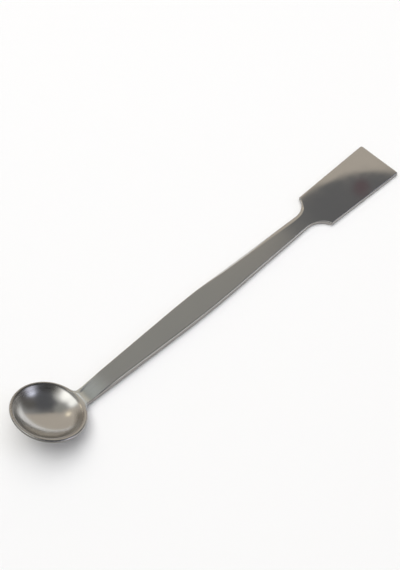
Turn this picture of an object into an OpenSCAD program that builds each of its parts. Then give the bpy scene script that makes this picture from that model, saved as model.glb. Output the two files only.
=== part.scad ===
// One-piece stainless steel laboratory spatula. A round dished bowl with a narrow
// lip is at one end, and a cranked neck carries a flat tapered handle, which ends
// in a flared flat blade. Stations along the tool are measured from the centre of
// its round head, laid out flat, as the blank is before its neck is cranked.

/* [Head] */
// Diameter of the dish, where its ball meets the plane of the lip
dish_d = 23.8; // [18:0.2:30]
// Depth of the dish below the lip
dish_depth = 4.5; // [3:0.1:7]
// Width of the lip outside the dish, with the fold between them
lip_w = 1.3; // [1.2:0.05:3]
// Thickness of the dish's wall and of the lip
sheet_t = 1.1; // [0.8:0.1:1.1]
// How far the dish is pressed off the head's centre, away from the handle
dish_back = 0.2; // [0:0.1:0.3]
// How far the dish is pressed off the head's centre, to the left
dish_left = 0.3; // [0:0.1:0.3]
// Radius of the fold between the dish and its lip
fold_r = 0.8; // [0.4:0.1:0.8]

/* [Neck] */
// Angle that the handle rises from the plane of the lip
crank = 21.9; // [0:0.1:28]
// Radius of the crank, along the top face
crank_r = 8.8; // [6:0.2:14]
// Width of the neck where it leaves the crank
neck_w = 6.5; // [5:0.1:9]
// Thickness of the neck
neck_t = 2.8; // [2:0.1:3.2]
// Radius of the web between the neck and the head, on the left
web_left = 2.5; // [1:0.5:6]
// Radius of the web on the right
web_right = 4; // [1:0.5:6]

/* [Handle] */
// Width at the widest place
handle_w = 10; // [8:0.2:14]
// Station of the widest place
handle_at = 70; // [50:1:95]
// Length over which the sides turn at the widest place
handle_turn = 28; // [4:2:40]
// Thickness at the widest place
handle_t = 2.4; // [1.8:0.1:2.6]
// How far the handle's axis lies to the right of the head's centre
handle_right = 0.8; // [0:0.1:1]

/* [Blade] */
// Width of the waist between the handle and the blade
waist_w = 6.7; // [5:0.1:9]
// Thickness of the waist
waist_t = 1.8; // [1.4:0.1:2]
// Station of the blade's shoulders
blade_at = 129.8; // [110:0.1:160]
// Length of the blade
blade_l = 37.2; // [25:0.1:50]
// Width across the shoulders
shoulder_w = 17.4; // [14:0.2:21]
// Radius of the hollows that lead into the shoulders
shoulder_r = 7.5; // [6:0.5:12]
// Width at the end
end_w = 19.5; // [15:0.1:26]
// Thickness at the end
end_t = 1.4; // [1.1:0.1:1.6]
// Radius of the end's corners
corner_r = 1; // [0.6:0.1:3]

/* [Edges] */
// Radius on the edges of the neck, the handle and the blade
edge_r = 0.5; // [0.2:0.05:0.6]

/* [Hidden] */

$fn = 96;
eps = 0.01;
dish_r = dish_d / 2;
head_r = dish_r + lip_w;

// Ball that the dish is pressed with, centred above the plane of the lip
ball_r = (dish_r * dish_r + dish_depth * dish_depth) / (2 * dish_depth);
ball_z = ball_r - dish_depth;
back_r = ball_r + sheet_t;

// Centre of the fold's round, which touches the lip's plane and the ball
fold_x = sqrt(pow(ball_r + fold_r, 2) - pow(ball_z + fold_r, 2));
fold_touch = ball_r / (ball_r + fold_r);

// Ends of the crank's arc, and of the whole tool, as stations
crank_from = head_r;
crank_to = crank_from + crank_r * crank * PI / 180;
neck_at = max(crank_to, web_meets(1), web_meets(-1)) + 1;
tool_end = blade_at + blade_l;

// Sides of the handle: two straight tapers, joined by a gentle turn
rise = (handle_w - neck_w) / 2 / (handle_at - neck_at);
shoulder_from = blade_at - shoulder_run(waist_w / 2);
fall = (handle_w - waist_w) / 2 / (shoulder_from - handle_at);

// Root of the neck, inside the head, where it is little thicker than the lip
root_at = dish_r - dish_back - sheet_t;
root_t = sheet_t + edge_r;

// Attitude at rest: the blade's end touches the floor, and so does the back of the
// dish, or the underside of the handle where that is lower
end_foot = cranked([tool_end - edge_r, 0, -end_t]);
reach = norm([end_foot.x + dish_back, ball_z - end_foot.z]);
dish_tilt = asin(back_r / reach) - asin((ball_z - end_foot.z) / reach);
undersides = [
    for (u = [crank_to, handle_at, shoulder_from]) cranked([u, 0, -thickness(u)])
];
handle_tilt = max([
    for (p = undersides) atan2(end_foot.z - p.z, end_foot.x - p.x)
]);
rest_tilt = max(dish_tilt, handle_tilt);
lift = end_foot.x * sin(rest_tilt) - end_foot.z * cos(rest_tilt);
lip_mid = head_r - sheet_t / 2;
x_low = -lip_mid * cos(rest_tilt) - sheet_t / 2 * sin(rest_tilt) - sheet_t / 2;
end_tip = cranked([tool_end, 0, -end_t / 2]);
x_high = end_tip.x * cos(rest_tilt) + end_tip.z * sin(rest_tilt);

// Length that a hollow takes to widen from half width v to the shoulder
function shoulder_run(v) =
    let (up = shoulder_w / 2 - v)
    sqrt(2 * shoulder_r * up - up * up);

// Sideways height of a round of radius r that leaves a straight line, x along it
function round_off(r, x) = r - sqrt(max(r * r - x * x, 0));

// Radius of the web on one side: side is 1 on the left and -1 on the right
function web_r(side) = side > 0 ? web_left : web_right;

// Station where the web's round meets the side of the neck
function web_meets(side) =
    let (r = web_r(side))
    sqrt(pow(head_r + r, 2) - pow(neck_w / 2 + r - side * handle_right, 2));

// Station where that round leaves the edge of the head
function web_leaves(side) = web_meets(side) * head_r / (head_r + web_r(side));

// Half width of the neck and the web
function web_half(u, side) =
    let (meets = web_meets(side), x = min(max(meets - u, 0), meets - web_leaves(side)))
    neck_w / 2 + round_off(web_r(side), x);

// Half width of the handle, which turns from one taper to the other as a parabola
function handle_half(u) =
    let (x = u - handle_at, half = handle_turn / 2, near = max(half - abs(x), 0))
    handle_w / 2 + (x < 0 ? rise : -fall) * x
        - (rise + fall) / (4 * half) * near * near;

// Half width of the blade, whose two end corners are rounded
function blade_half(u) =
    (shoulder_w + (end_w - shoulder_w) * (u - blade_at) / blade_l) / 2
        - round_off(corner_r, max(u - tool_end + corner_r, 0));

// Half width anywhere along the tool
function half_width(u, side) =
    u < neck_at ? web_half(u, side)
    : u < shoulder_from ? handle_half(u)
    : u < blade_at ? waist_w / 2 + round_off(shoulder_r, u - shoulder_from)
    : blade_half(u);

// Thickness anywhere along the tool
function thickness(u) = lookup(u, [
    [web_leaves(1), root_t],
    [crank_to, neck_t],
    [handle_at, handle_t],
    [shoulder_from, waist_t],
    [tool_end, end_t]
]);

// Inset of the section near the blade's end, which rounds the end's edges
function end_inset(u) =
    0.8 * round_off(edge_r, max(u - tool_end + edge_r, 0));

// Bends the laid-out blank at its neck: [station, left, height above the top face]
function cranked(p) =
    let (turned = min(max(p.x - crank_from, 0) / crank_r * 180 / PI, crank))
    let (past = max(p.x - crank_to, 0))
    [
        min(p.x, crank_from) + (crank_r - p.z) * sin(turned) + past * cos(crank),
        p.y,
        crank_r - (crank_r - p.z) * cos(turned) + past * sin(crank)
    ];

// Steps round each corner of a section, and points in a whole section
CORNER = 4;
LOOP = 4 * (CORNER + 1);

// Section at a station: a rectangle with rounded corners, from the top left round
function section(u) =
    let (inset = end_inset(u), r = edge_r - inset)
    let (left = half_width(u, 1) - inset - r, right = inset + r - half_width(u, -1))
    let (top = -inset - r, foot = r + inset - thickness(u))
    let (centres = [[left, top], [left, foot], [right, foot], [right, top]])
    [for (k = [0:3], j = [0:CORNER])
        let (a = 90 - 90 * k - 90 * j / CORNER)
        cranked([
            u,
            centres[k].x + r * cos(a) - handle_right,
            centres[k].y + r * sin(a)
        ])
    ];

// Evenly spaced stations from one end to the other
function between(a, b, steps) = [for (k = [0:steps]) a + (b - a) * k / steps];

// Stations closer and closer towards the far end, as along a quarter turn
function closing(a, b, steps) = [for (k = [1:steps]) a + (b - a) * sin(90 * k / steps)];

// The straight stretches of the sides have a station at each end only
STATIONS = concat(
    between(root_at, neck_at, 24),
    between(handle_at - handle_turn / 2, handle_at + handle_turn / 2, 12),
    [shoulder_from],
    closing(shoulder_from, blade_at, 14),
    [tool_end - corner_r],
    closing(tool_end - corner_r, tool_end, 8)
);

// Round head: the lip's plate with its rounded rim, and the back of the dish
module head() {
    translate([0, 0, -sheet_t]) cylinder(h = sheet_t, r = lip_mid);
    translate([0, 0, -sheet_t / 2])
        rotate_extrude() translate([lip_mid, 0]) circle(d = sheet_t);
    translate([-dish_back, dish_left, 0])
        intersection() {
            translate([0, 0, ball_z]) sphere(r = back_r);
            translate([0, 0, -back_r - sheet_t / 2]) cylinder(h = back_r, r = back_r);
        }
}

// What is pressed out of the head: the dish, and its fold into the lip
module dish() {
    translate([-dish_back, dish_left, 0])
        rotate_extrude()
            intersection() {
                union() {
                    translate([0, ball_z]) circle(r = ball_r);
                    difference() {
                        polygon([
                            [0, eps],
                            [fold_x, eps],
                            [fold_x, 0],
                            [fold_x * fold_touch,
                             ball_z - (ball_z + fold_r) * fold_touch],
                            [0, ball_z - (ball_z + fold_r) * fold_touch]
                        ]);
                        translate([fold_x, -fold_r]) circle(r = fold_r);
                    }
                }
                translate([0, -ball_r]) square([head_r, ball_r + eps]);
            }
}

// Neck, handle and blade in one sweep of rounded sections
module blank() {
    count = len(STATIONS);
    points = [for (u = STATIONS) each section(u)];
    sides = [
        for (i = [0:count - 2], j = [0:LOOP - 1])
            let (next = (j + 1) % LOOP)
            [i * LOOP + j, i * LOOP + next, (i + 1) * LOOP + next, (i + 1) * LOOP + j]
    ];
    near_end = [for (j = [LOOP - 1:-1:0]) j];
    far_end = [for (j = [0:LOOP - 1]) (count - 1) * LOOP + j];
    polyhedron(points = points, faces = concat(sides, [near_end, far_end]));
}

module spatula() {
    color("silver")
        translate([-(x_low + x_high) / 2, 0, lift])
            rotate([0, rest_tilt, 0])
                difference() {
                    union() {
                        head();
                        blank();
                    }
                    dish();
                }
}

spatula();
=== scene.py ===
# %% [markdown]
# # A laboratory spatula
# The real one is a single strip of stainless steel. It is blanked out flat, a round dish is
# pressed into one end, the neck is cranked, the other end is rolled into a thin flared blade,
# and the whole is ground and polished. This lesson makes it in the same order: a flat blank
# in mesh code, a Geometry Nodes tree that presses, cranks and lays it down, and one steel
# finish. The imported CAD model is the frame, so its size and its place are already settled.

# %% The frame and its box
import math

import bpy
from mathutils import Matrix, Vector


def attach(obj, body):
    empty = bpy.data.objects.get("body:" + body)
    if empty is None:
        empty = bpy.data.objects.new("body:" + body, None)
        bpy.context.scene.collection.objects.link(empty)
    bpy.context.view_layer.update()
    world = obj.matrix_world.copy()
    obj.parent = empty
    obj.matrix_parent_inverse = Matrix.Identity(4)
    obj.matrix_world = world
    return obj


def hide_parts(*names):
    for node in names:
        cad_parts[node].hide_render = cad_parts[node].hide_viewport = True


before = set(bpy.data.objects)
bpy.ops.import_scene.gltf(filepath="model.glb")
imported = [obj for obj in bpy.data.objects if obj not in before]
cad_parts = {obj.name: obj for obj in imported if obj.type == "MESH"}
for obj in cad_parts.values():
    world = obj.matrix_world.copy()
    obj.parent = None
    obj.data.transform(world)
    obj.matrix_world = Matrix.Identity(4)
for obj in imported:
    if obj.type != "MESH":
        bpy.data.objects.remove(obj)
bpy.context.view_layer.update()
MM = 0.001

# %% [markdown]
# ## The camera
# A camera is easiest to think of as an orbit: the point it looks at, how far away it stands,
# and its two angles. It looks down on the spatula from its right, behind the bowl, so the
# tool runs from the lower left to the upper right of the view. A long lens from close to
# 40 cm gives the bowl, which is nearer, its slightly larger scale.

# %% Camera
LOOK_AT = Vector((-2.52, 5.73, 0)) * MM
DISTANCE = 388 * MM
HEADING = math.radians(47.81)
DOWN = math.radians(56.79)
ROLL = math.radians(-1.36)
LENS = 95.06
FILM_WIDTH = 36

lens_data = bpy.data.cameras.new("camera")
lens_data.lens = LENS
lens_data.sensor_width = FILM_WIDTH
lens_data.sensor_fit = "HORIZONTAL"
lens_data.clip_start = 0.01
camera = bpy.data.objects.new("camera", lens_data)
bpy.context.scene.collection.objects.link(camera)
gaze = Vector((
    math.cos(DOWN) * math.cos(HEADING),
    math.cos(DOWN) * math.sin(HEADING),
    -math.sin(DOWN),
))
camera.location = LOOK_AT - gaze * DISTANCE
camera.rotation_euler = gaze.to_track_quat("-Z", "Y").to_euler()
camera.rotation_euler.rotate_axis("Z", ROLL)
bpy.context.scene.camera = camera
print("camera stands at, mm:", [round(x / MM, 1) for x in camera.location])

# %% [markdown]
# ## Sizes
# These are the sizes that the CAD model is built from, in metres here. A station is a
# distance along the flat blank from the centre of its round head. u runs along the blank,
# v to the left, and w up from its top face. Polishing softens the fold round the dish, so it
# is given a larger radius than the CAD model's, and a larger one still towards the neck.

# %% Driving sizes
DISH_R = 11.9 * MM
DISH_DEPTH = 4.5 * MM
LIP_W = 1.3 * MM
WAVE_DEPTH = 0.012 * MM
# The head is a hair small, so that the polishing waves stay inside the CAD box
HEAD_R = DISH_R + LIP_W - 0.01 * MM
SHEET = 1.1 * MM
DISH_AT = Vector((-0.2, 0.3, 0)) * MM
# Radius of the fold into the lip, into the neck, and on the back of the sheet
FOLD = 2 * MM
NECK_FOLD = 4 * MM
BACK_FOLD = 0.4 * MM

CRANK = math.radians(21.9)
CRANK_R = 8.8 * MM
CRANK_FROM = HEAD_R
CRANK_TO = CRANK_FROM + CRANK_R * CRANK
NECK_AT = CRANK_TO + 1 * MM
NECK_W = 6.5 * MM
NECK_T = 2.8 * MM
WEB_LEFT = 2.5 * MM
WEB_RIGHT = 4 * MM

HANDLE_W = 10 * MM
HANDLE_AT = 70 * MM
HANDLE_TURN = 28 * MM
HANDLE_T = 2.4 * MM
HANDLE_RIGHT = 0.8 * MM

WAIST_W = 6.7 * MM
WAIST_T = 1.8 * MM
BLADE_AT = 129.8 * MM
BLADE_L = 37.2 * MM
SHOULDER_W = 17.4 * MM
SHOULDER_R = 7.5 * MM
END_W = 19.5 * MM
END_T = 1.4 * MM
CORNER_R = 1 * MM

BALL_R = (DISH_R**2 + DISH_DEPTH**2) / (2 * DISH_DEPTH)
BALL_Z = BALL_R - DISH_DEPTH
TOOL_END = BLADE_AT + BLADE_L
hollow_rise = (SHOULDER_W - WAIST_W) / 2
SHOULDER_FROM = BLADE_AT - math.sqrt(2 * SHOULDER_R * hollow_rise - hollow_rise**2)
print(f"ball {BALL_R / MM:.3f} mm, tool end at station {TOOL_END / MM:.1f} mm")

# %% [markdown]
# ## The blank's outline
# A blank is cut by one closed line. Walking it with the steel on the left hand, it goes up
# the right side, across the blade's end, back down the left side, and round the head. Each
# stretch is a straight taper, a parabola or an arc, so only their ends are given. The cut
# line is where the head's round mesh meets the long mesh of the handle.

# %% Sides of the handle and the blade
# Station of the cut line, and the round on each shoulder's tip
CUT = 15.4 * MM
TIP_R = 0.45 * MM


def arc(centre, radius, start, stop, steps):
    """Points on an arc, from one angle to another in degrees, both ends included."""
    angles = [math.radians(start + (stop - start) * k / steps) for k in range(steps + 1)]
    return [(centre[0] + radius * math.cos(a), centre[1] + radius * math.sin(a)) for a in angles]


def between(low, high, steps):
    """Evenly spaced numbers, both ends included."""
    return [low + (high - low) * k / steps for k in range(steps + 1)]


def handle_half(u):
    """Half the handle's width: two straight tapers, joined by a parabola."""
    if u < NECK_AT:
        return NECK_W / 2
    rise = (HANDLE_W - NECK_W) / 2 / (HANDLE_AT - NECK_AT)
    fall = (HANDLE_W - WAIST_W) / 2 / (SHOULDER_FROM - HANDLE_AT)
    x = u - HANDLE_AT
    near = max(HANDLE_TURN / 2 - abs(x), 0)
    taper = rise * x if x < 0 else -fall * x
    return HANDLE_W / 2 + taper - (rise + fall) / (2 * HANDLE_TURN) * near**2


def shoulder_tip():
    """Centre of the small round that touches the hollow and the blade's side."""
    hollow = Vector((SHOULDER_FROM, WAIST_W / 2 + SHOULDER_R))
    lean = math.atan((END_W - SHOULDER_W) / 2 / BLADE_L)
    along = Vector((math.cos(lean), math.sin(lean)))
    inward = Vector((math.sin(lean), -math.cos(lean)))
    start = Vector((BLADE_AT, SHOULDER_W / 2)) + inward * TIP_R - hollow
    middle = start.dot(along)
    spread = middle**2 - start.length_squared + (SHOULDER_R + TIP_R) ** 2
    return hollow + start + along * (math.sqrt(spread) - middle), hollow, lean


def half_side():
    """The left half of the blank's side, from the cut line to the middle of the corner."""
    tip, hollow, lean = shoulder_tip()
    to_tip = tip - hollow
    meets = math.degrees(math.atan2(to_tip.y, to_tip.x))
    square = 90 + math.degrees(lean)
    corner_x = TOOL_END - CORNER_R
    corner_y = END_W / 2 - CORNER_R / math.cos(lean) - CORNER_R * math.tan(lean)
    stations = between(CUT, CRANK_TO, 4)[:-1] + between(CRANK_TO, SHOULDER_FROM, 56)[:-1]
    path = [(u, handle_half(u)) for u in stations]
    path += arc(hollow, SHOULDER_R, -90, meets, 18)[:-1]
    path += arc(tip, TIP_R, meets + 180, square, 8)[:-1]
    first = arc(tip, TIP_R, square, square, 1)[0]
    last = arc((corner_x, corner_y), CORNER_R, square, square, 1)[0]
    path += [(u, first[1] + (last[1] - first[1]) * (u - first[0]) / (last[0] - first[0]))
             for u in between(first[0], last[0], 20)[:-1]]
    return path + arc((corner_x, corner_y), CORNER_R, square, 45, 4)


side = half_side()
print(len(side), "points on each side, widest", round(2 * max(p[1] for p in side) / MM, 2), "mm")

# %% Outline of the whole blank
# Where the rows across the blade are divided, closer together near the edges
COLUMNS = (0, 0.02, 0.06, 0.11, 0.18, 0.27, 0.38, 0.5, 0.62, 0.73, 0.82, 0.89, 0.94, 0.98, 1)


def web(left):
    """The round that leads the neck's side into the head, from the neck to the head's edge."""
    turn, radius = (1, WEB_LEFT) if left else (-1, WEB_RIGHT)
    y = turn * (NECK_W / 2 + radius) - HANDLE_RIGHT
    x = math.sqrt((HEAD_R + radius) ** 2 - y**2)
    to_head = math.degrees(math.atan2(y, x))
    return arc((x, y), radius, -90 * turn, to_head - 180 * turn, 12), to_head


def outline():
    """The closed line, from the cut line on the right, with the steel on its left hand."""
    right = [(u, -v - HANDLE_RIGHT) for u, v in side]
    left = [(u, v - HANDLE_RIGHT) for u, v in side]
    first, last = right[-1], left[-1]
    corner = [(TOOL_END - CORNER_R + CORNER_R * math.cos(math.radians(a)),
               CORNER_R * math.sin(math.radians(a))) for a in (33.75, 22.5, 11.25, 0)]
    reach = last[1] - CORNER_R * math.sin(math.radians(45))
    end = [(x, -reach - 2 * HANDLE_RIGHT - y) for x, y in corner]
    end += [(TOOL_END, -HANDLE_RIGHT + k * (reach + HANDLE_RIGHT) / 2) for k in (-1, 0, 1)]
    end += [(x, reach + y) for x, y in reversed(corner)]
    left_web, left_angle = web(True)
    right_web, right_angle = web(False)
    head = arc((0, 0), HEAD_R, left_angle, 360 + right_angle, 150)
    return (right + end + left[::-1] + left_web + head[1:-1] + right_web[::-1])


rim = outline()
n_side, n_across, n_rim = len(side) - 1, len(COLUMNS) - 1, len(rim)
head_from = 2 * n_side + n_across
print(n_rim, "points round the blank")

# %% [markdown]
# ## Thickness and edges
# The lip is as thin as the sheet that the dish was pressed in. From there the neck swells to
# its full thickness, and the tool thins again all the way to the blade's end, as a rolled
# strip does. The edges were ground by hand: the lip is fully rounded, the right edge has a
# narrow flat broken off it, and on the left the grinder leaned in towards the waist and
# opened a broad bevel. Behind the lip the neck's root dips a little, so the rim stands proud.
# A few rows of sizes along the tool say all this, and a function reads them in between.

# %% Thickness and edge rounding
THICKNESS = ((CRANK_TO, NECK_T), (HANDLE_AT, HANDLE_T), (SHOULDER_FROM, WAIST_T), (TOOL_END, END_T))
# Station where the neck begins to swell, and how far to each side the swelling reaches
ROOT_AT = 10.5 * MM
ROOT_SIDES = (3.3 * MM, 6.5 * MM)
# Station, how far the round reaches in from the side, and how far it drops from the top
LEFT_EDGE = [[x * MM for x in row] for row in (
    (10, 0.75, 0.55), (12.5, 1.3, 0.6), (14.5, 1.9, 0.8), (17, 1.1, 0.6), (24, 0.3, 0.3),
    (72, 0.35, 0.35), (84, 1.0, 0.75), (98, 1.2, 0.8), (108, 1.3, 0.65), (120, 1.5, 0.6),
    (126, 1.1, 0.55), (128.6, 0.42, 0.4), (134, 0.35, 0.4), (167, 0.4, 0.4))]
RIGHT_EDGE = [[x * MM for x in row] for row in (
    (12, 0.75, 0.55), (16, 0.4, 0.55), (50, 0.3, 0.4), (123, 0.3, 0.4), (167, 0.3, 0.35))]
# How much of the round is ground flat, by station
LEFT_FLAT = [[row[0] * MM, row[1]] for row in ((72, 0), (84, 0.8), (126, 0.8), (130, 0))]
RIGHT_FLAT = [[row[0] * MM, row[1]] for row in ((11, 0), (13.5, 0.85), (167, 0.85))]
# How deep the neck's root dips, where along it that starts and ends, and how far sideways
NECK_SAG = 0.55 * MM
SAG_DOWN = (12.2 * MM, 14.6 * MM)
SAG_UP = (15 * MM, 27 * MM)
SAG_SIDES = (3.5 * MM, 6.5 * MM)
# The round under the edge, and how far the side swells out between the two rounds
UNDER_EDGE = [[x * MM for x in row] for row in ((12, 0.5, 0.55), (15, 0.45, 0.45), (167, 0.4, 0.4))]
BULGE = 0.03 * MM


def lookup(x, rows):
    """The values in the rows, each (x, values...), at x: straight lines in between."""
    if x <= rows[0][0]:
        return list(rows[0][1:])
    for low, high in zip(rows, rows[1:]):
        if x < high[0]:
            share = (x - low[0]) / (high[0] - low[0])
            return [a + (b - a) * share for a, b in zip(low[1:], high[1:])]
    return list(rows[-1][1:])


def smooth(x, low, high):
    """0 up to low and 1 from high on, with an easy slope in between."""
    share = min(max((x - low) / (high - low), 0), 1)
    return share * share * (3 - 2 * share)


def thickness(u, v):
    """Thickness of the steel anywhere on the blank."""
    if u > CRANK_TO:
        return lookup(u, THICKNESS)[0]
    swell = smooth(u, ROOT_AT, CRANK_TO) * (1 - smooth(abs(v + HANDLE_RIGHT), *ROOT_SIDES))
    return SHEET + (NECK_T - SHEET) * swell


def sag(u, v):
    """How far the neck's root dips below the lip, so that the dish's rim stands a little proud."""
    along = smooth(u, *SAG_DOWN) * (1 - smooth(u, *SAG_UP))
    return NECK_SAG * along * (1 - smooth(abs(v + HANDLE_RIGHT), *SAG_SIDES))


def section(u, v):
    """Down the side at one point of the outline: (inset, height, share of side) for each loop."""
    thick = thickness(u, v)
    top_in, top_drop = lookup(u, LEFT_EDGE if v > -HANDLE_RIGHT else RIGHT_EDGE)
    low_in, low_drop = lookup(u, UNDER_EDGE)
    straight = lookup(u, LEFT_FLAT if v > -HANDLE_RIGHT else RIGHT_FLAT)[0]
    top_steps, side_steps, low_steps = 7, 4, 6
    loops = []
    for k in range(top_steps + 1):
        share = k / top_steps
        a = math.pi / 2 * share
        across = 1 - math.sin(a) + (math.sin(a) - share) * straight
        down = 1 - math.cos(a) + (math.cos(a) - 1 + share) * straight
        dip = sag(u, v) * (1 - share)
        loops.append((BULGE + (top_in - BULGE) * across, -dip - top_drop * down, share))
    for k in range(1, side_steps):
        share = k / side_steps
        height = -top_drop + (top_drop + low_drop - thick) * share
        loops.append((BULGE * (1 - 4 * share * (1 - share)), height, 1))
    for k in range(low_steps + 1):
        share = k / low_steps
        a = math.pi / 2 * share
        inset = BULGE + (low_in - BULGE) * (1 - math.cos(a))
        loops.append((inset, -thick + low_drop * (1 - math.sin(a)), 1 - share))
    return loops


print("neck", round(thickness(CRANK_TO, 0) / MM, 2), "mm thick, end",
      round(thickness(TOOL_END, 0) / MM, 2), "mm")

# %% [markdown]
# ## The flat blank as a mesh
# The side is a stack of loops, one above the other, and each follows the whole outline. The
# top and the underside are closed by the same plan: rings round the dish, ending in one point
# at its middle, and rows across the handle and the blade. All of it is quads in tidy rows,
# which bend and press without creases. A boolean cut would leave long thin faces that shade
# badly on polished steel.

# %% Loops round the side
points, faces, side_share = [], [], []


def outward(i):
    """The outward direction at a point of the outline, from its two neighbours."""
    before, after = rim[i - 1], rim[(i + 1) % n_rim]
    x, y = after[0] - before[0], after[1] - before[1]
    size = math.hypot(x, y)
    return y / size, -x / size


sections = [section(u, v) for u, v in rim]
n_loops = len(sections[0])
for loop in range(n_loops):
    for i, (u, v) in enumerate(rim):
        inset, height, share = sections[i][loop]
        across = outward(i)
        points.append((u - across[0] * inset, v - across[1] * inset, height))
        side_share.append(share)
for loop in range(n_loops - 1):
    for i in range(n_rim):
        after = (i + 1) % n_rim
        top, low = loop * n_rim, (loop + 1) * n_rim
        faces.append((top + i, low + i, low + after, top + after))
print(n_loops, "loops down the side")

# %% Top and underside
# Rings lie evenly on the ball and closest over the fold, and the last few reach the edge
BALL_END, FOLD_END = 11.2 * MM, 12.8 * MM
BALL_RINGS = between(0, BALL_END, 26)[1:]
FOLD_SHARES = between(0, 1, 14)[1:]
LIP_SHARES = (0.12, 0.25, 0.4, 0.55, 0.7, 0.82, 0.92)


def add_point(u, v, top):
    """Adds a point on the top or the underside, and says which it is."""
    points.append((u, v, -sag(u, v) if top else -thickness(u, v)))
    side_share.append(0)
    return len(points) - 1


def quads(rows, top, closed):
    """Faces between each row of points and the next, looking up on top and down below."""
    for low, high in zip(rows, rows[1:]):
        count = len(low)
        for j in range(count if closed else count - 1):
            face = (low[j], high[j], high[(j + 1) % count], low[(j + 1) % count])
            faces.append(face if top else face[::-1])


def close_face(first, top):
    """Fills one side of the blank inside the loop whose points start at first."""
    rows = []
    for k in range(n_side):
        right, left = first + k, first + head_from - k
        a, b = points[right], points[left]
        inner = [add_point(a[0] + (b[0] - a[0]) * c, a[1] + (b[1] - a[1]) * c, top)
                 for c in COLUMNS[1:-1]]
        rows.append([right, *inner, left])
    rows.append([first + n_side + j for j in range(n_across + 1)])
    quads(rows, top, closed=False)

    around = [first + i for i in range(head_from, n_rim)] + rows[0][:-1]
    middle = add_point(DISH_AT.x, DISH_AT.y, top)
    spokes = []
    for i in around:
        x, y = points[i][0] - DISH_AT.x, points[i][1] - DISH_AT.y
        far = math.hypot(x, y)
        last = min(FOLD_END, far - 0.1 * MM)
        radii = [*BALL_RINGS, *(BALL_END + (last - BALL_END) * s for s in FOLD_SHARES)]
        radii += [last + (far - last) * s for s in LIP_SHARES]
        spokes.append([add_point(DISH_AT.x + x / far * r, DISH_AT.y + y / far * r, top)
                       for r in radii] + [i])
    rings = [list(ring) for ring in zip(*spokes)]
    quads(rings, top, closed=True)
    for j in range(len(around)):
        face = (middle, rings[0][j], rings[0][(j + 1) % len(around)])
        faces.append(face if top else face[::-1])


close_face(0, top=True)
close_face((n_loops - 1) * n_rim, top=False)
flat = bpy.data.meshes.new("flat_blank")
flat.from_pydata(points, [], faces)
flat.attributes.new("side_share", "FLOAT", "POINT").data.foreach_set("value", side_share)
print("flat blank:", len(points), "points,", len(faces), "faces, valid:", not flat.validate())

# %% [markdown]
# ## A helper for nodes
# Node trees get long, so one function adds any node. Settings are given by name, and the
# values fill the node's visible inputs in order: a node or a socket is linked, None is
# skipped, and anything else is set on the socket itself.

# %% The node helper
MATH, VECTOR = "ShaderNodeMath", "ShaderNodeVectorMath"


def add(tree, kind, *values, **settings):
    """Adds a node with its settings, and links or sets its inputs in order."""
    node = tree.nodes.new(kind)
    for name, value in settings.items():
        setattr(node, name, value)
    for socket, value in zip([s for s in node.inputs if s.enabled], values):
        if isinstance(value, bpy.types.Node):
            value = next(s for s in value.outputs if s.enabled)
        if isinstance(value, bpy.types.NodeSocket):
            tree.links.new(value, socket)
        elif value is not None:
            socket.default_value = value
    return node


print("add(tree, kind, values..., settings...) makes every node from here on")

# %% [markdown]
# ## Press, crank and lay down
# The press bends the blank over a steel ball and round a fold, and the length measured along
# the face stays as it was cut. So a ring at distance rho from the dish's middle lands on the
# ball, on the fold's round or on the flat lip, according to how far along it lies. The back
# of the sheet follows a ball that is larger by its own depth. The crank turns each station
# about one axis across the neck, and there the fold is wider, because the neck is thicker
# than the lip. Last, a soft noise moves the skin by a hundredth of a millimetre, as hand
# polishing leaves it. A Geometry Nodes tree does this best: the rule is written once for
# every point, and its sizes are inputs that anyone can change.

# %% The tree and its inputs
press = bpy.data.node_groups.new("press_and_bend", "GeometryNodeTree")
press.interface.new_socket("Blank", in_out="INPUT", socket_type="NodeSocketGeometry")
sizes = {
    "Dish middle": DISH_AT, "Ball radius": BALL_R, "Ball height": BALL_Z, "Sheet": SHEET,
    "Fold": FOLD, "Neck fold": NECK_FOLD, "Back fold": BACK_FOLD,
    "Crank from": CRANK_FROM, "Crank radius": CRANK_R, "Crank angle": CRANK,
    "Wave depth": WAVE_DEPTH, "Waves per metre": 60,
}
for name, value in sizes.items():
    form = "NodeSocketVector" if name == "Dish middle" else "NodeSocketFloat"
    press.interface.new_socket(name, in_out="INPUT", socket_type=form)
for name in ("Lay down turn", "Lay down shift"):
    press.interface.new_socket(name, in_out="INPUT", socket_type="NodeSocketVector")
press.interface.new_socket("Steel", in_out="INPUT", socket_type="NodeSocketMaterial")
press.interface.new_socket("Spatula", in_out="OUTPUT", socket_type="NodeSocketGeometry")
given = add(press, "NodeGroupInput").outputs
print(len(given) - 1, "named inputs")

# %% Pressing the dish
laid = add(press, "GeometryNodeInputPosition")
kept = add(press, "GeometryNodeStoreNamedAttribute", given["Blank"], None, "laid_out", laid,
           data_type="FLOAT_VECTOR", domain="POINT")
height = add(press, "ShaderNodeSeparateXYZ", laid).outputs["Z"]
away = add(press, VECTOR, laid, given["Dish middle"], operation="SUBTRACT")
away = add(press, VECTOR, away, (1, 1, 0), operation="MULTIPLY")
rho = add(press, VECTOR, away, operation="LENGTH")
spoke = add(press, VECTOR, away, operation="NORMALIZE")

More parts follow.
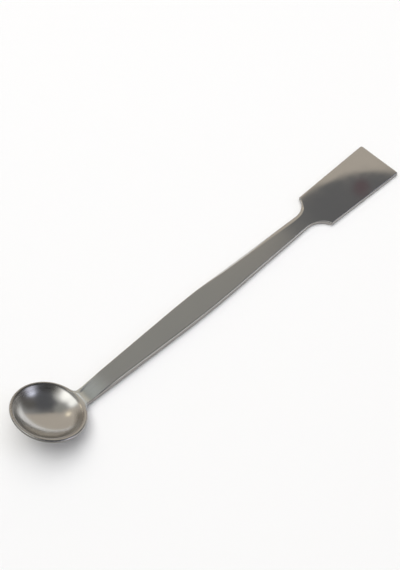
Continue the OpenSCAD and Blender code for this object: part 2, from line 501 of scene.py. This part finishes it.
sunk = add(press, MATH, height, given["Sheet"], operation="DIVIDE")
back = add(press, MATH, 0, sunk, operation="SUBTRACT", use_clamp=True)
to_neck = add(press, "ShaderNodeSeparateXYZ", spoke).outputs["X"]
to_neck = add(press, "ShaderNodeMapRange", to_neck, 0.8, 1, 0, 1, interpolation_type="SMOOTHSTEP")
fold = add(press, "ShaderNodeMix", to_neck, given["Fold"], given["Neck fold"], data_type="FLOAT")
fold = add(press, "ShaderNodeMix", back, fold, given["Back fold"], data_type="FLOAT")
ball = add(press, MATH, given["Ball radius"], height, operation="SUBTRACT")
drop = add(press, MATH, given["Ball height"], height, operation="SUBTRACT")
reach = add(press, MATH, ball, fold, operation="ADD")
stand = add(press, MATH, drop, fold, operation="ADD")
cosine = add(press, MATH, stand, reach, operation="DIVIDE")
lean = add(press, MATH, cosine, operation="ARCCOSINE")
sine = add(press, MATH, lean, operation="SINE")
fold_x = add(press, MATH, reach, sine, operation="MULTIPLY")
whole = add(press, MATH, reach, lean, operation="MULTIPLY")
share = add(press, MATH, rho, fold_x, operation="DIVIDE")
along = add(press, MATH, share, whole, operation="MULTIPLY")

angle = add(press, MATH, along, ball, operation="DIVIDE")
on_ball = add(press, MATH, angle, lean, operation="LESS_THAN")
swing = add(press, MATH, angle, operation="SINE")
ball_x = add(press, MATH, ball, swing, operation="MULTIPLY")
swing = add(press, MATH, angle, operation="COSINE")
swing = add(press, MATH, ball, swing, operation="MULTIPLY")
ball_z = add(press, MATH, given["Ball height"], swing, operation="SUBTRACT")

left_over = add(press, MATH, whole, along, operation="SUBTRACT")
angle = add(press, MATH, left_over, fold, operation="DIVIDE")
swing = add(press, MATH, angle, operation="SINE")
swing = add(press, MATH, fold, swing, operation="MULTIPLY")
round_x = add(press, MATH, fold_x, swing, operation="SUBTRACT")
swing = add(press, MATH, angle, operation="COSINE")
swing = add(press, MATH, fold, swing, operation="MULTIPLY")
round_z = add(press, MATH, height, fold, operation="SUBTRACT")
round_z = add(press, MATH, round_z, swing, operation="ADD")

inside = add(press, MATH, rho, fold_x, operation="LESS_THAN")
new_x = add(press, "ShaderNodeMix", on_ball, round_x, ball_x, data_type="FLOAT")
new_x = add(press, "ShaderNodeMix", inside, rho, new_x, data_type="FLOAT")
new_z = add(press, "ShaderNodeMix", on_ball, round_z, ball_z, data_type="FLOAT")
new_z = add(press, "ShaderNodeMix", inside, height, new_z, data_type="FLOAT")
moved = add(press, VECTOR, spoke, new_x, operation="SCALE")
moved = add(press, VECTOR, moved, given["Dish middle"], operation="ADD")
level = add(press, "ShaderNodeCombineXYZ", 0, 0, new_z)
moved = add(press, VECTOR, moved, level, operation="ADD")
pressed = add(press, "GeometryNodeSetPosition", kept, None, moved)
print("the fold at the lip turns by",
      round(math.degrees(math.acos((BALL_Z + FOLD) / (BALL_R + FOLD))), 1), "degrees")

# %% Cranking the neck
place = add(press, "GeometryNodeInputPosition")
parts = add(press, "ShaderNodeSeparateXYZ", place).outputs
beyond = add(press, MATH, parts["X"], given["Crank from"], operation="SUBTRACT")
beyond = add(press, MATH, beyond, 0, operation="MAXIMUM")
arc_end = add(press, MATH, given["Crank radius"], given["Crank angle"], operation="MULTIPLY")
in_arc = add(press, MATH, beyond, arc_end, operation="MINIMUM")
past = add(press, MATH, beyond, in_arc, operation="SUBTRACT")
before = add(press, MATH, parts["X"], beyond, operation="SUBTRACT")
turned = add(press, MATH, in_arc, given["Crank radius"], operation="DIVIDE")
arm = add(press, MATH, given["Crank radius"], parts["Z"], operation="SUBTRACT")
turned_sine = add(press, MATH, turned, operation="SINE")
turned_cosine = add(press, MATH, turned, operation="COSINE")
out = add(press, MATH, arm, turned_sine, before, operation="MULTIPLY_ADD")
out = add(press, MATH, past, turned_cosine, out, operation="MULTIPLY_ADD")
up = add(press, MATH, arm, turned_cosine, operation="MULTIPLY")
up = add(press, MATH, given["Crank radius"], up, operation="SUBTRACT")
up = add(press, MATH, past, turned_sine, up, operation="MULTIPLY_ADD")
bent = add(press, "ShaderNodeCombineXYZ", out, parts["Y"], up)
cranked = add(press, "GeometryNodeSetPosition", pressed, None, bent)
print("crank from station", round(CRANK_FROM / MM, 2), "to", round(CRANK_TO / MM, 2), "mm")

# %% Soft waves, as hand polishing leaves them
flat_place = add(press, "GeometryNodeInputNamedAttribute", "laid_out", data_type="FLOAT_VECTOR")
waves = add(press, "ShaderNodeTexNoise", flat_place, given["Waves per metre"], 1)
waves = add(press, MATH, waves, 1, operation="SUBTRACT")
waves = add(press, MATH, waves, given["Wave depth"], operation="MULTIPLY")
face_way = add(press, "GeometryNodeInputNormal")
waves = add(press, VECTOR, face_way, waves, operation="SCALE")
waved = add(press, "GeometryNodeSetPosition", cranked, None, None, waves)
print("one wave about every", round(1 / sizes["Waves per metre"] / MM, 1), "mm")

# %% Laying it down, and the end of the tree
resting = add(press, "GeometryNodeTransform", waved)
for name, socket in (("Lay down shift", "Translation"), ("Lay down turn", "Rotation")):
    press.links.new(given[name], resting.inputs[socket])
easy = add(press, "GeometryNodeSetShadeSmooth", resting)
real = add(press, "GeometryNodeRealizeInstances", easy)
coated = add(press, "GeometryNodeSetMaterial", real, None, given["Steel"])
add(press, "NodeGroupOutput", coated)
print(len(press.nodes), "nodes in press_and_bend")

# %% [markdown]
# ## Stainless steel
# The strip is austenitic stainless steel, ground, brushed and then polished. A metal has no
# colour of its own under its shine: its base colour is the share of light that it mirrors,
# a slightly warm grey near 60 per cent. What the eye reads as finish is roughness and very
# fine relief. Fine grit leaves lines along the handle and rings in the dish, and the blade is
# almost a mirror. The ring in the fold round the dish and the ground sides are duller, and
# painted shade darkens their colour, so the floor they mirror shows dimmer. A painted
# highlight lightens the neck's root.
# Each of these is a mask between 0 and 1, made from the place on the flat blank.

# %% Colours
def colour(code):
    """A linear colour from an sRGB hex value."""
    channels = [int(code[k:k + 2], 16) / 255 for k in (0, 2, 4)]
    return [c / 12.92 if c <= 0.04045 else ((c + 0.055) / 1.055) ** 2.4 for c in channels]


# Painted shade in the fold's ring and on the sides dims the floor they mirror, and a painted
# highlight lightens the neck's root
STEEL_TONE, FOLD_SHADE_TONE = "CFCECB", "94928E"
ROOT_HIGHLIGHT_TONE, SIDE_SHADE_TONE = "DEE3E2", "A09C98"
print("the steel mirrors", [round(c, 2) for c in colour(STEEL_TONE)], "of red, green and blue")

# %% Masks and layers
def ramp(tree, value, low, high, start=0, end=1):
    """A smooth step from one number to another, while the value goes from low to high."""
    return add(tree, "ShaderNodeMapRange", value, low, high, start, end,
               interpolation_type="SMOOTHSTEP")


def layer(tree, mask, under, over):
    """Shows one number or colour over another, where the mask is 1."""
    if isinstance(over, str):
        return add(tree, "ShaderNodeMix", mask, under, (*colour(over), 1), data_type="RGBA")
    return add(tree, "ShaderNodeMix", mask, under, over, data_type="FLOAT")


print("masks are read from the flat blank, so they follow the steel through every bend")

# %% Fine lines of the grit
# Polishing grit leaves a line every 0.05 mm or so, which is too fine to show, so the lines
# are drawn nearly ten times as coarse. Each number counts lines in a metre.
LINES_ALONG, LINES_ACROSS, RINGS_OUT = 40, 2200, 1800


def grit_lines(tree, laid, rho, spoke):
    """Noise stretched along the handle, and round the dish's middle inside the dish."""
    lengthwise = add(tree, "ShaderNodeMapping", laid, None, None,
                     (LINES_ALONG, LINES_ACROSS, LINES_ACROSS))
    lines = add(tree, "ShaderNodeTexNoise", lengthwise, 1, 3, 0.6)
    ring_place = add(tree, "ShaderNodeCombineXYZ", rho, 0, 0)
    ring_place = add(tree, VECTOR, ring_place, (RINGS_OUT, 0, 0), spoke,
                     operation="MULTIPLY_ADD")
    rings = add(tree, "ShaderNodeTexNoise", ring_place, 1, 3, 0.6)
    in_dish = ramp(tree, rho, DISH_R - 1.2 * MM, DISH_R + 0.4 * MM, 1, 0)
    return layer(tree, in_dish, lines, rings)


print("grit lines: one every", round(1 / LINES_ACROSS / MM, 2), "mm across the handle")

# %% Polished stainless steel
# Roughness, from a mirror at 0 to chalk at 1
SATIN, MIRROR = 0.2, 0.035
DULL_FOLD, ROOT_ROUGHNESS, GROUND_SIDE = 0.28, 0.23, 0.34
# The satin of the handle turns to the blade's mirror between these stations
POLISH_FROM, POLISH_TO = 96 * MM, 130 * MM
GRIT_DEPTH = 0.002 * MM


def polished_stainless_steel():
    """Satin bowl and handle, bright blade, dull fold and sides with painted shade, a painted
    highlight on the neck's root, and fine grit lines.
    """
    steel = bpy.data.materials.new("polished_stainless_steel")
    steel.use_nodes = True
    tree = steel.node_tree
    tree.nodes.clear()
    laid = add(tree, "ShaderNodeAttribute", attribute_name="laid_out").outputs["Vector"]
    share = add(tree, "ShaderNodeAttribute", attribute_name="side_share").outputs["Fac"]
    station = add(tree, "ShaderNodeSeparateXYZ", laid).outputs["X"]
    from_middle = add(tree, VECTOR, laid, tuple(DISH_AT), operation="SUBTRACT")
    from_middle = add(tree, VECTOR, from_middle, (1, 1, 0), operation="MULTIPLY")
    rho = add(tree, VECTOR, from_middle, operation="LENGTH")
    spoke = add(tree, VECTOR, from_middle, operation="NORMALIZE")
    grit = grit_lines(tree, laid, rho, spoke)

    # The ring in the fold, duller and darkened by painted shade, which fades out on the lip and
    # towards the neck
    at_neck = add(tree, "ShaderNodeSeparateXYZ", spoke).outputs["X"]
    in_fold = ramp(tree, rho, 8.4 * MM, 10.6 * MM)
    for fade in (ramp(tree, rho, DISH_R - 0.1 * MM, DISH_R + 0.9 * MM, 1, 0),
                 ramp(tree, at_neck, 0.75, 0.97, 1, 0)):
        in_fold = add(tree, MATH, in_fold, fade, operation="MULTIPLY")

    # The neck's root, lightened by a painted highlight, and the ground sides with the lip's outer
    # round, darkened by painted shade
    root = ramp(tree, station, 11 * MM, 13.5 * MM)
    root = add(tree, MATH, root, ramp(tree, station, 15 * MM, 26 * MM, 1, 0), operation="MULTIPLY")
    on_lip = add(tree, MATH, share, ramp(tree, station, 11 * MM, 14 * MM, 1, 0),
                 operation="MULTIPLY")
    ground_and_shaded = add(tree, MATH, ramp(tree, share, 0.7, 1), on_lip, operation="MAXIMUM")

    # Roughness: satin to mirror along the tool, then the dull places, grit and smudges
    rough = ramp(tree, station, POLISH_FROM, POLISH_TO, SATIN, MIRROR)
    rough = layer(tree, in_fold, rough, DULL_FOLD)
    rough = layer(tree, root, rough, ROOT_ROUGHNESS)
    rough = layer(tree, ground_and_shaded, rough, GROUND_SIDE)
    wear = add(tree, "ShaderNodeMapRange", grit, 0.3, 0.7, -0.1, 0.1)
    rough = add(tree, MATH, rough, wear, rough, operation="MULTIPLY_ADD")
    smudges = add(tree, "ShaderNodeTexNoise", laid, 90, 4, 0.55)
    smudges = add(tree, "ShaderNodeMapRange", smudges, 0.35, 0.7, -0.012, 0.02)
    rough = add(tree, MATH, rough, smudges, operation="ADD")

    # Colour, with painted shade in the fold and on the sides and a painted highlight on the neck's
    # root, and the relief of the grit, which is strongest on the satin
    tone = layer(tree, in_fold, (*colour(STEEL_TONE), 1), FOLD_SHADE_TONE)
    tone = layer(tree, root, tone, ROOT_HIGHLIGHT_TONE)
    tone = layer(tree, ground_and_shaded, tone, SIDE_SHADE_TONE)
    strength = ramp(tree, station, POLISH_FROM, POLISH_TO, 0.35, 0.08)
    strength = layer(tree, root, strength, 0.1)
    relief = add(tree, "ShaderNodeBump", strength, GRIT_DEPTH, None, grit)

    metal = add(tree, "ShaderNodeBsdfPrincipled", tone, 1, rough)
    tree.links.new(relief.outputs[0], metal.inputs["Normal"])
    add(tree, "ShaderNodeOutputMaterial", metal)
    return steel


STEEL = polished_stainless_steel()
print(len(STEEL.node_tree.nodes), "nodes in", STEEL.name)

# %% [markdown]
# ## Press the blank
# The tree is a modifier for a moment only. Its result is copied into a plain mesh, and the
# blank and its modifier are thrown away, so what is left is one finished piece that stands
# for the CAD node.

# %% Where it lies
# The handle's underside and the blade's end rest on the floor, as in the CAD model
TILT = math.radians(22.4937)
LIFT = 8.67269 * MM
MIDDLE = 76.7222 * MM
print("the head's plane tips by", round(math.degrees(TILT), 1), "degrees")

# %% The finished spatula
settings = dict(sizes)
settings["Lay down shift"] = Vector((-MIDDLE, 0, LIFT))
settings["Lay down turn"] = Vector((0, TILT, 0))
settings["Steel"] = STEEL
blank = bpy.data.objects.new("blank", flat)
bpy.context.scene.collection.objects.link(blank)
pressing = blank.modifiers.new("press_and_bend", "NODES")
pressing.node_group = press
for item in press.interface.items_tree:
    if item.name in settings:
        pressing[item.identifier] = settings[item.name]
evaluated = blank.evaluated_get(bpy.context.evaluated_depsgraph_get())
mesh = bpy.data.meshes.new_from_object(evaluated)
mesh.name = "spatula_visual"
bpy.data.objects.remove(blank)
spatula = bpy.data.objects.new("spatula_polished", mesh)
bpy.context.scene.collection.objects.link(spatula)
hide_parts("spatula")
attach(spatula, "root")
corners = [[round(f(v.co[k] for v in mesh.vertices) / MM, 3) for k in range(3)] for f in (min, max)]
seen = [a.name for a in mesh.attributes if not a.name.startswith(".")]
print("spatula, mm:", corners, "attributes:", seen)

# %% [markdown]
# ## The floor
# A pale matt board, as a work bench has. It could be a small card under the tool, but polished
# steel mirrors whatever it lies on, so the board is far larger than the view.

# %% Floor
FLOOR = 3.0
floor_corners = [(FLOOR * x, FLOOR * y, 0) for x, y in ((-1, -1), (1, -1), (1, 1), (-1, 1))]
floor_mesh = bpy.data.meshes.new("floor")
floor_mesh.from_pydata(floor_corners, [], [(0, 1, 2, 3)])
floor = bpy.data.objects.new("floor", floor_mesh)
bpy.context.scene.collection.objects.link(floor)
matt = bpy.data.materials.new("matt_white_board")
matt.use_nodes = True
board = matt.node_tree.nodes["Principled BSDF"]
board.inputs["Base Color"].default_value = (*colour("F4F4F4"), 1)
board.inputs["Roughness"].default_value = 0.9
board.inputs["Specular IOR Level"].default_value = 0.2
floor_mesh.materials.append(matt)
print("floor:", 2 * FLOOR, "m square")

# %% [markdown]
# ## The room
# Polished steel shows the room more than itself, so the room is drawn with care. It could be
# built from lamps and cards, but a world of soft round patches is quicker to change: each has
# a direction, a size and a colour, and is painted over the ones before it, like stage flats.
# The lower half of the dish mirrors a pale wall and the upper half a dark ceiling. Over them
# come a window, whose light runs down the dish's wall beside the neck, cold daylight from
# the other side, and one warm lamp. A dark shelf fills most of the blade and ends in a curve,
# and a small red box stands on it.

# %% Patches of the room
def direction(azimuth, elevation):
    """A unit vector: azimuth from +X towards +Y, elevation up from the floor, in degrees."""
    a, e = math.radians(azimuth), math.radians(elevation)
    return Vector((math.cos(e) * math.cos(a), math.cos(e) * math.sin(a), math.sin(e)))


# Name, azimuth, elevation, radius of the even middle, radius where it has faded out, all in
# degrees, then radiance, where 1 is pure white, and colour
PATCHES = (
    ("dark side", 320, 60, 24, 50, 0.12, "F4F6FF"),
    ("glow", 165, 78, 6, 27, 0.95, "F6F4F0"),
    ("dark corner", 337, 20, 12, 26, 0.13, "FFF8F0"),
    ("pale wall", 62, 0, 55.3, 56.5, 0.57, "FFF4E6"),
    ("daylight", 314, 28, 4.5, 15, 3, "E6EAFF"),
    ("window", 142, 74, 6, 18, 1.7, "FFFFFC"),
    ("lower window", 108, 57, 5, 13, 1.6, "FFFFFC"),
    ("desk lamp", 74, 42, 1.5, 5.5, 1.9, "FFF2D8"),
    ("dark shelf", 30.4, 54.8, 5.8, 6.1, 0.165, "FCFCFF"),
    ("wall above", 55, 62, 7, 15, 0.32, "FFFFFA"),
    ("red box", 33, 49.9, 0.1, 0.6, 0.145, "FFDCE6"),
)
print(len(PATCHES), "patches, brightest:", max(PATCHES, key=lambda patch: patch[5])[0])

# %% The world
# Plain walls under the patches, from low to high, and the pale line where the floor ends
LOW_WALL, CEILING = 0.3, 0.28
HORIZON = 0.9

world = bpy.data.worlds.new("room")
bpy.context.scene.world = world
world.use_nodes = True
room = world.node_tree
room.nodes.clear()
way = add(room, "ShaderNodeTexCoord").outputs["Generated"]
rise = add(room, "ShaderNodeSeparateXYZ", way).outputs["Z"]
shade = add(room, "ShaderNodeMapRange", rise, 0.1, 0.95, LOW_WALL, CEILING)
for name, azimuth, elevation, inner, outer, radiance, code in PATCHES:
    nearness = add(room, VECTOR, way, tuple(direction(azimuth, elevation)),
                   operation="DOT_PRODUCT")
    mask = ramp(room, nearness, math.cos(math.radians(outer)), math.cos(math.radians(inner)))
    light = (*(radiance * c for c in colour(code)), 1)
    shade = add(room, "ShaderNodeMix", mask, shade, light, data_type="RGBA")
near_floor = ramp(room, rise, 0, 0.06, 1, 0)
shade = add(room, "ShaderNodeMix", near_floor, shade, (HORIZON, HORIZON, HORIZON, 1),
            data_type="RGBA")
backdrop = add(room, "ShaderNodeBackground", shade, 1)
add(room, "ShaderNodeOutputWorld", backdrop)
print(len(room.nodes), "nodes in the world")

# %% [markdown]
# ## The light on the floor
# One large soft lamp from above keeps the floor white and leaves only a faint shadow under
# the bowl. The steel doesn't mirror it, because the world already draws what it mirrors.

# %% Overhead lamp
OVERHEAD = 1.78


def softbox(name, azimuth, elevation, distance, size, radiance):
    """A square white lamp that faces the floor's middle. Radiance 1 shows as pure white."""
    data = bpy.data.lights.new(name, "AREA")
    data.shape = "SQUARE"
    data.size = size
    data.energy = radiance * math.pi * size**2
    lamp = bpy.data.objects.new(name, data)
    from_middle = direction(azimuth, elevation)
    lamp.location = from_middle * distance
    lamp.rotation_euler = from_middle.to_track_quat("Z", "Y").to_euler()
    lamp.visible_camera = False
    lamp.visible_glossy = False
    bpy.context.scene.collection.objects.link(lamp)
    return lamp


overhead = softbox("overhead", 60, 80, 1.2, 1.6, OVERHEAD)
print("overhead lamp:", round(overhead.data.energy, 1), "W,", overhead.data.size, "m wide")

bpy.context.scene.view_settings.view_transform = "Standard"
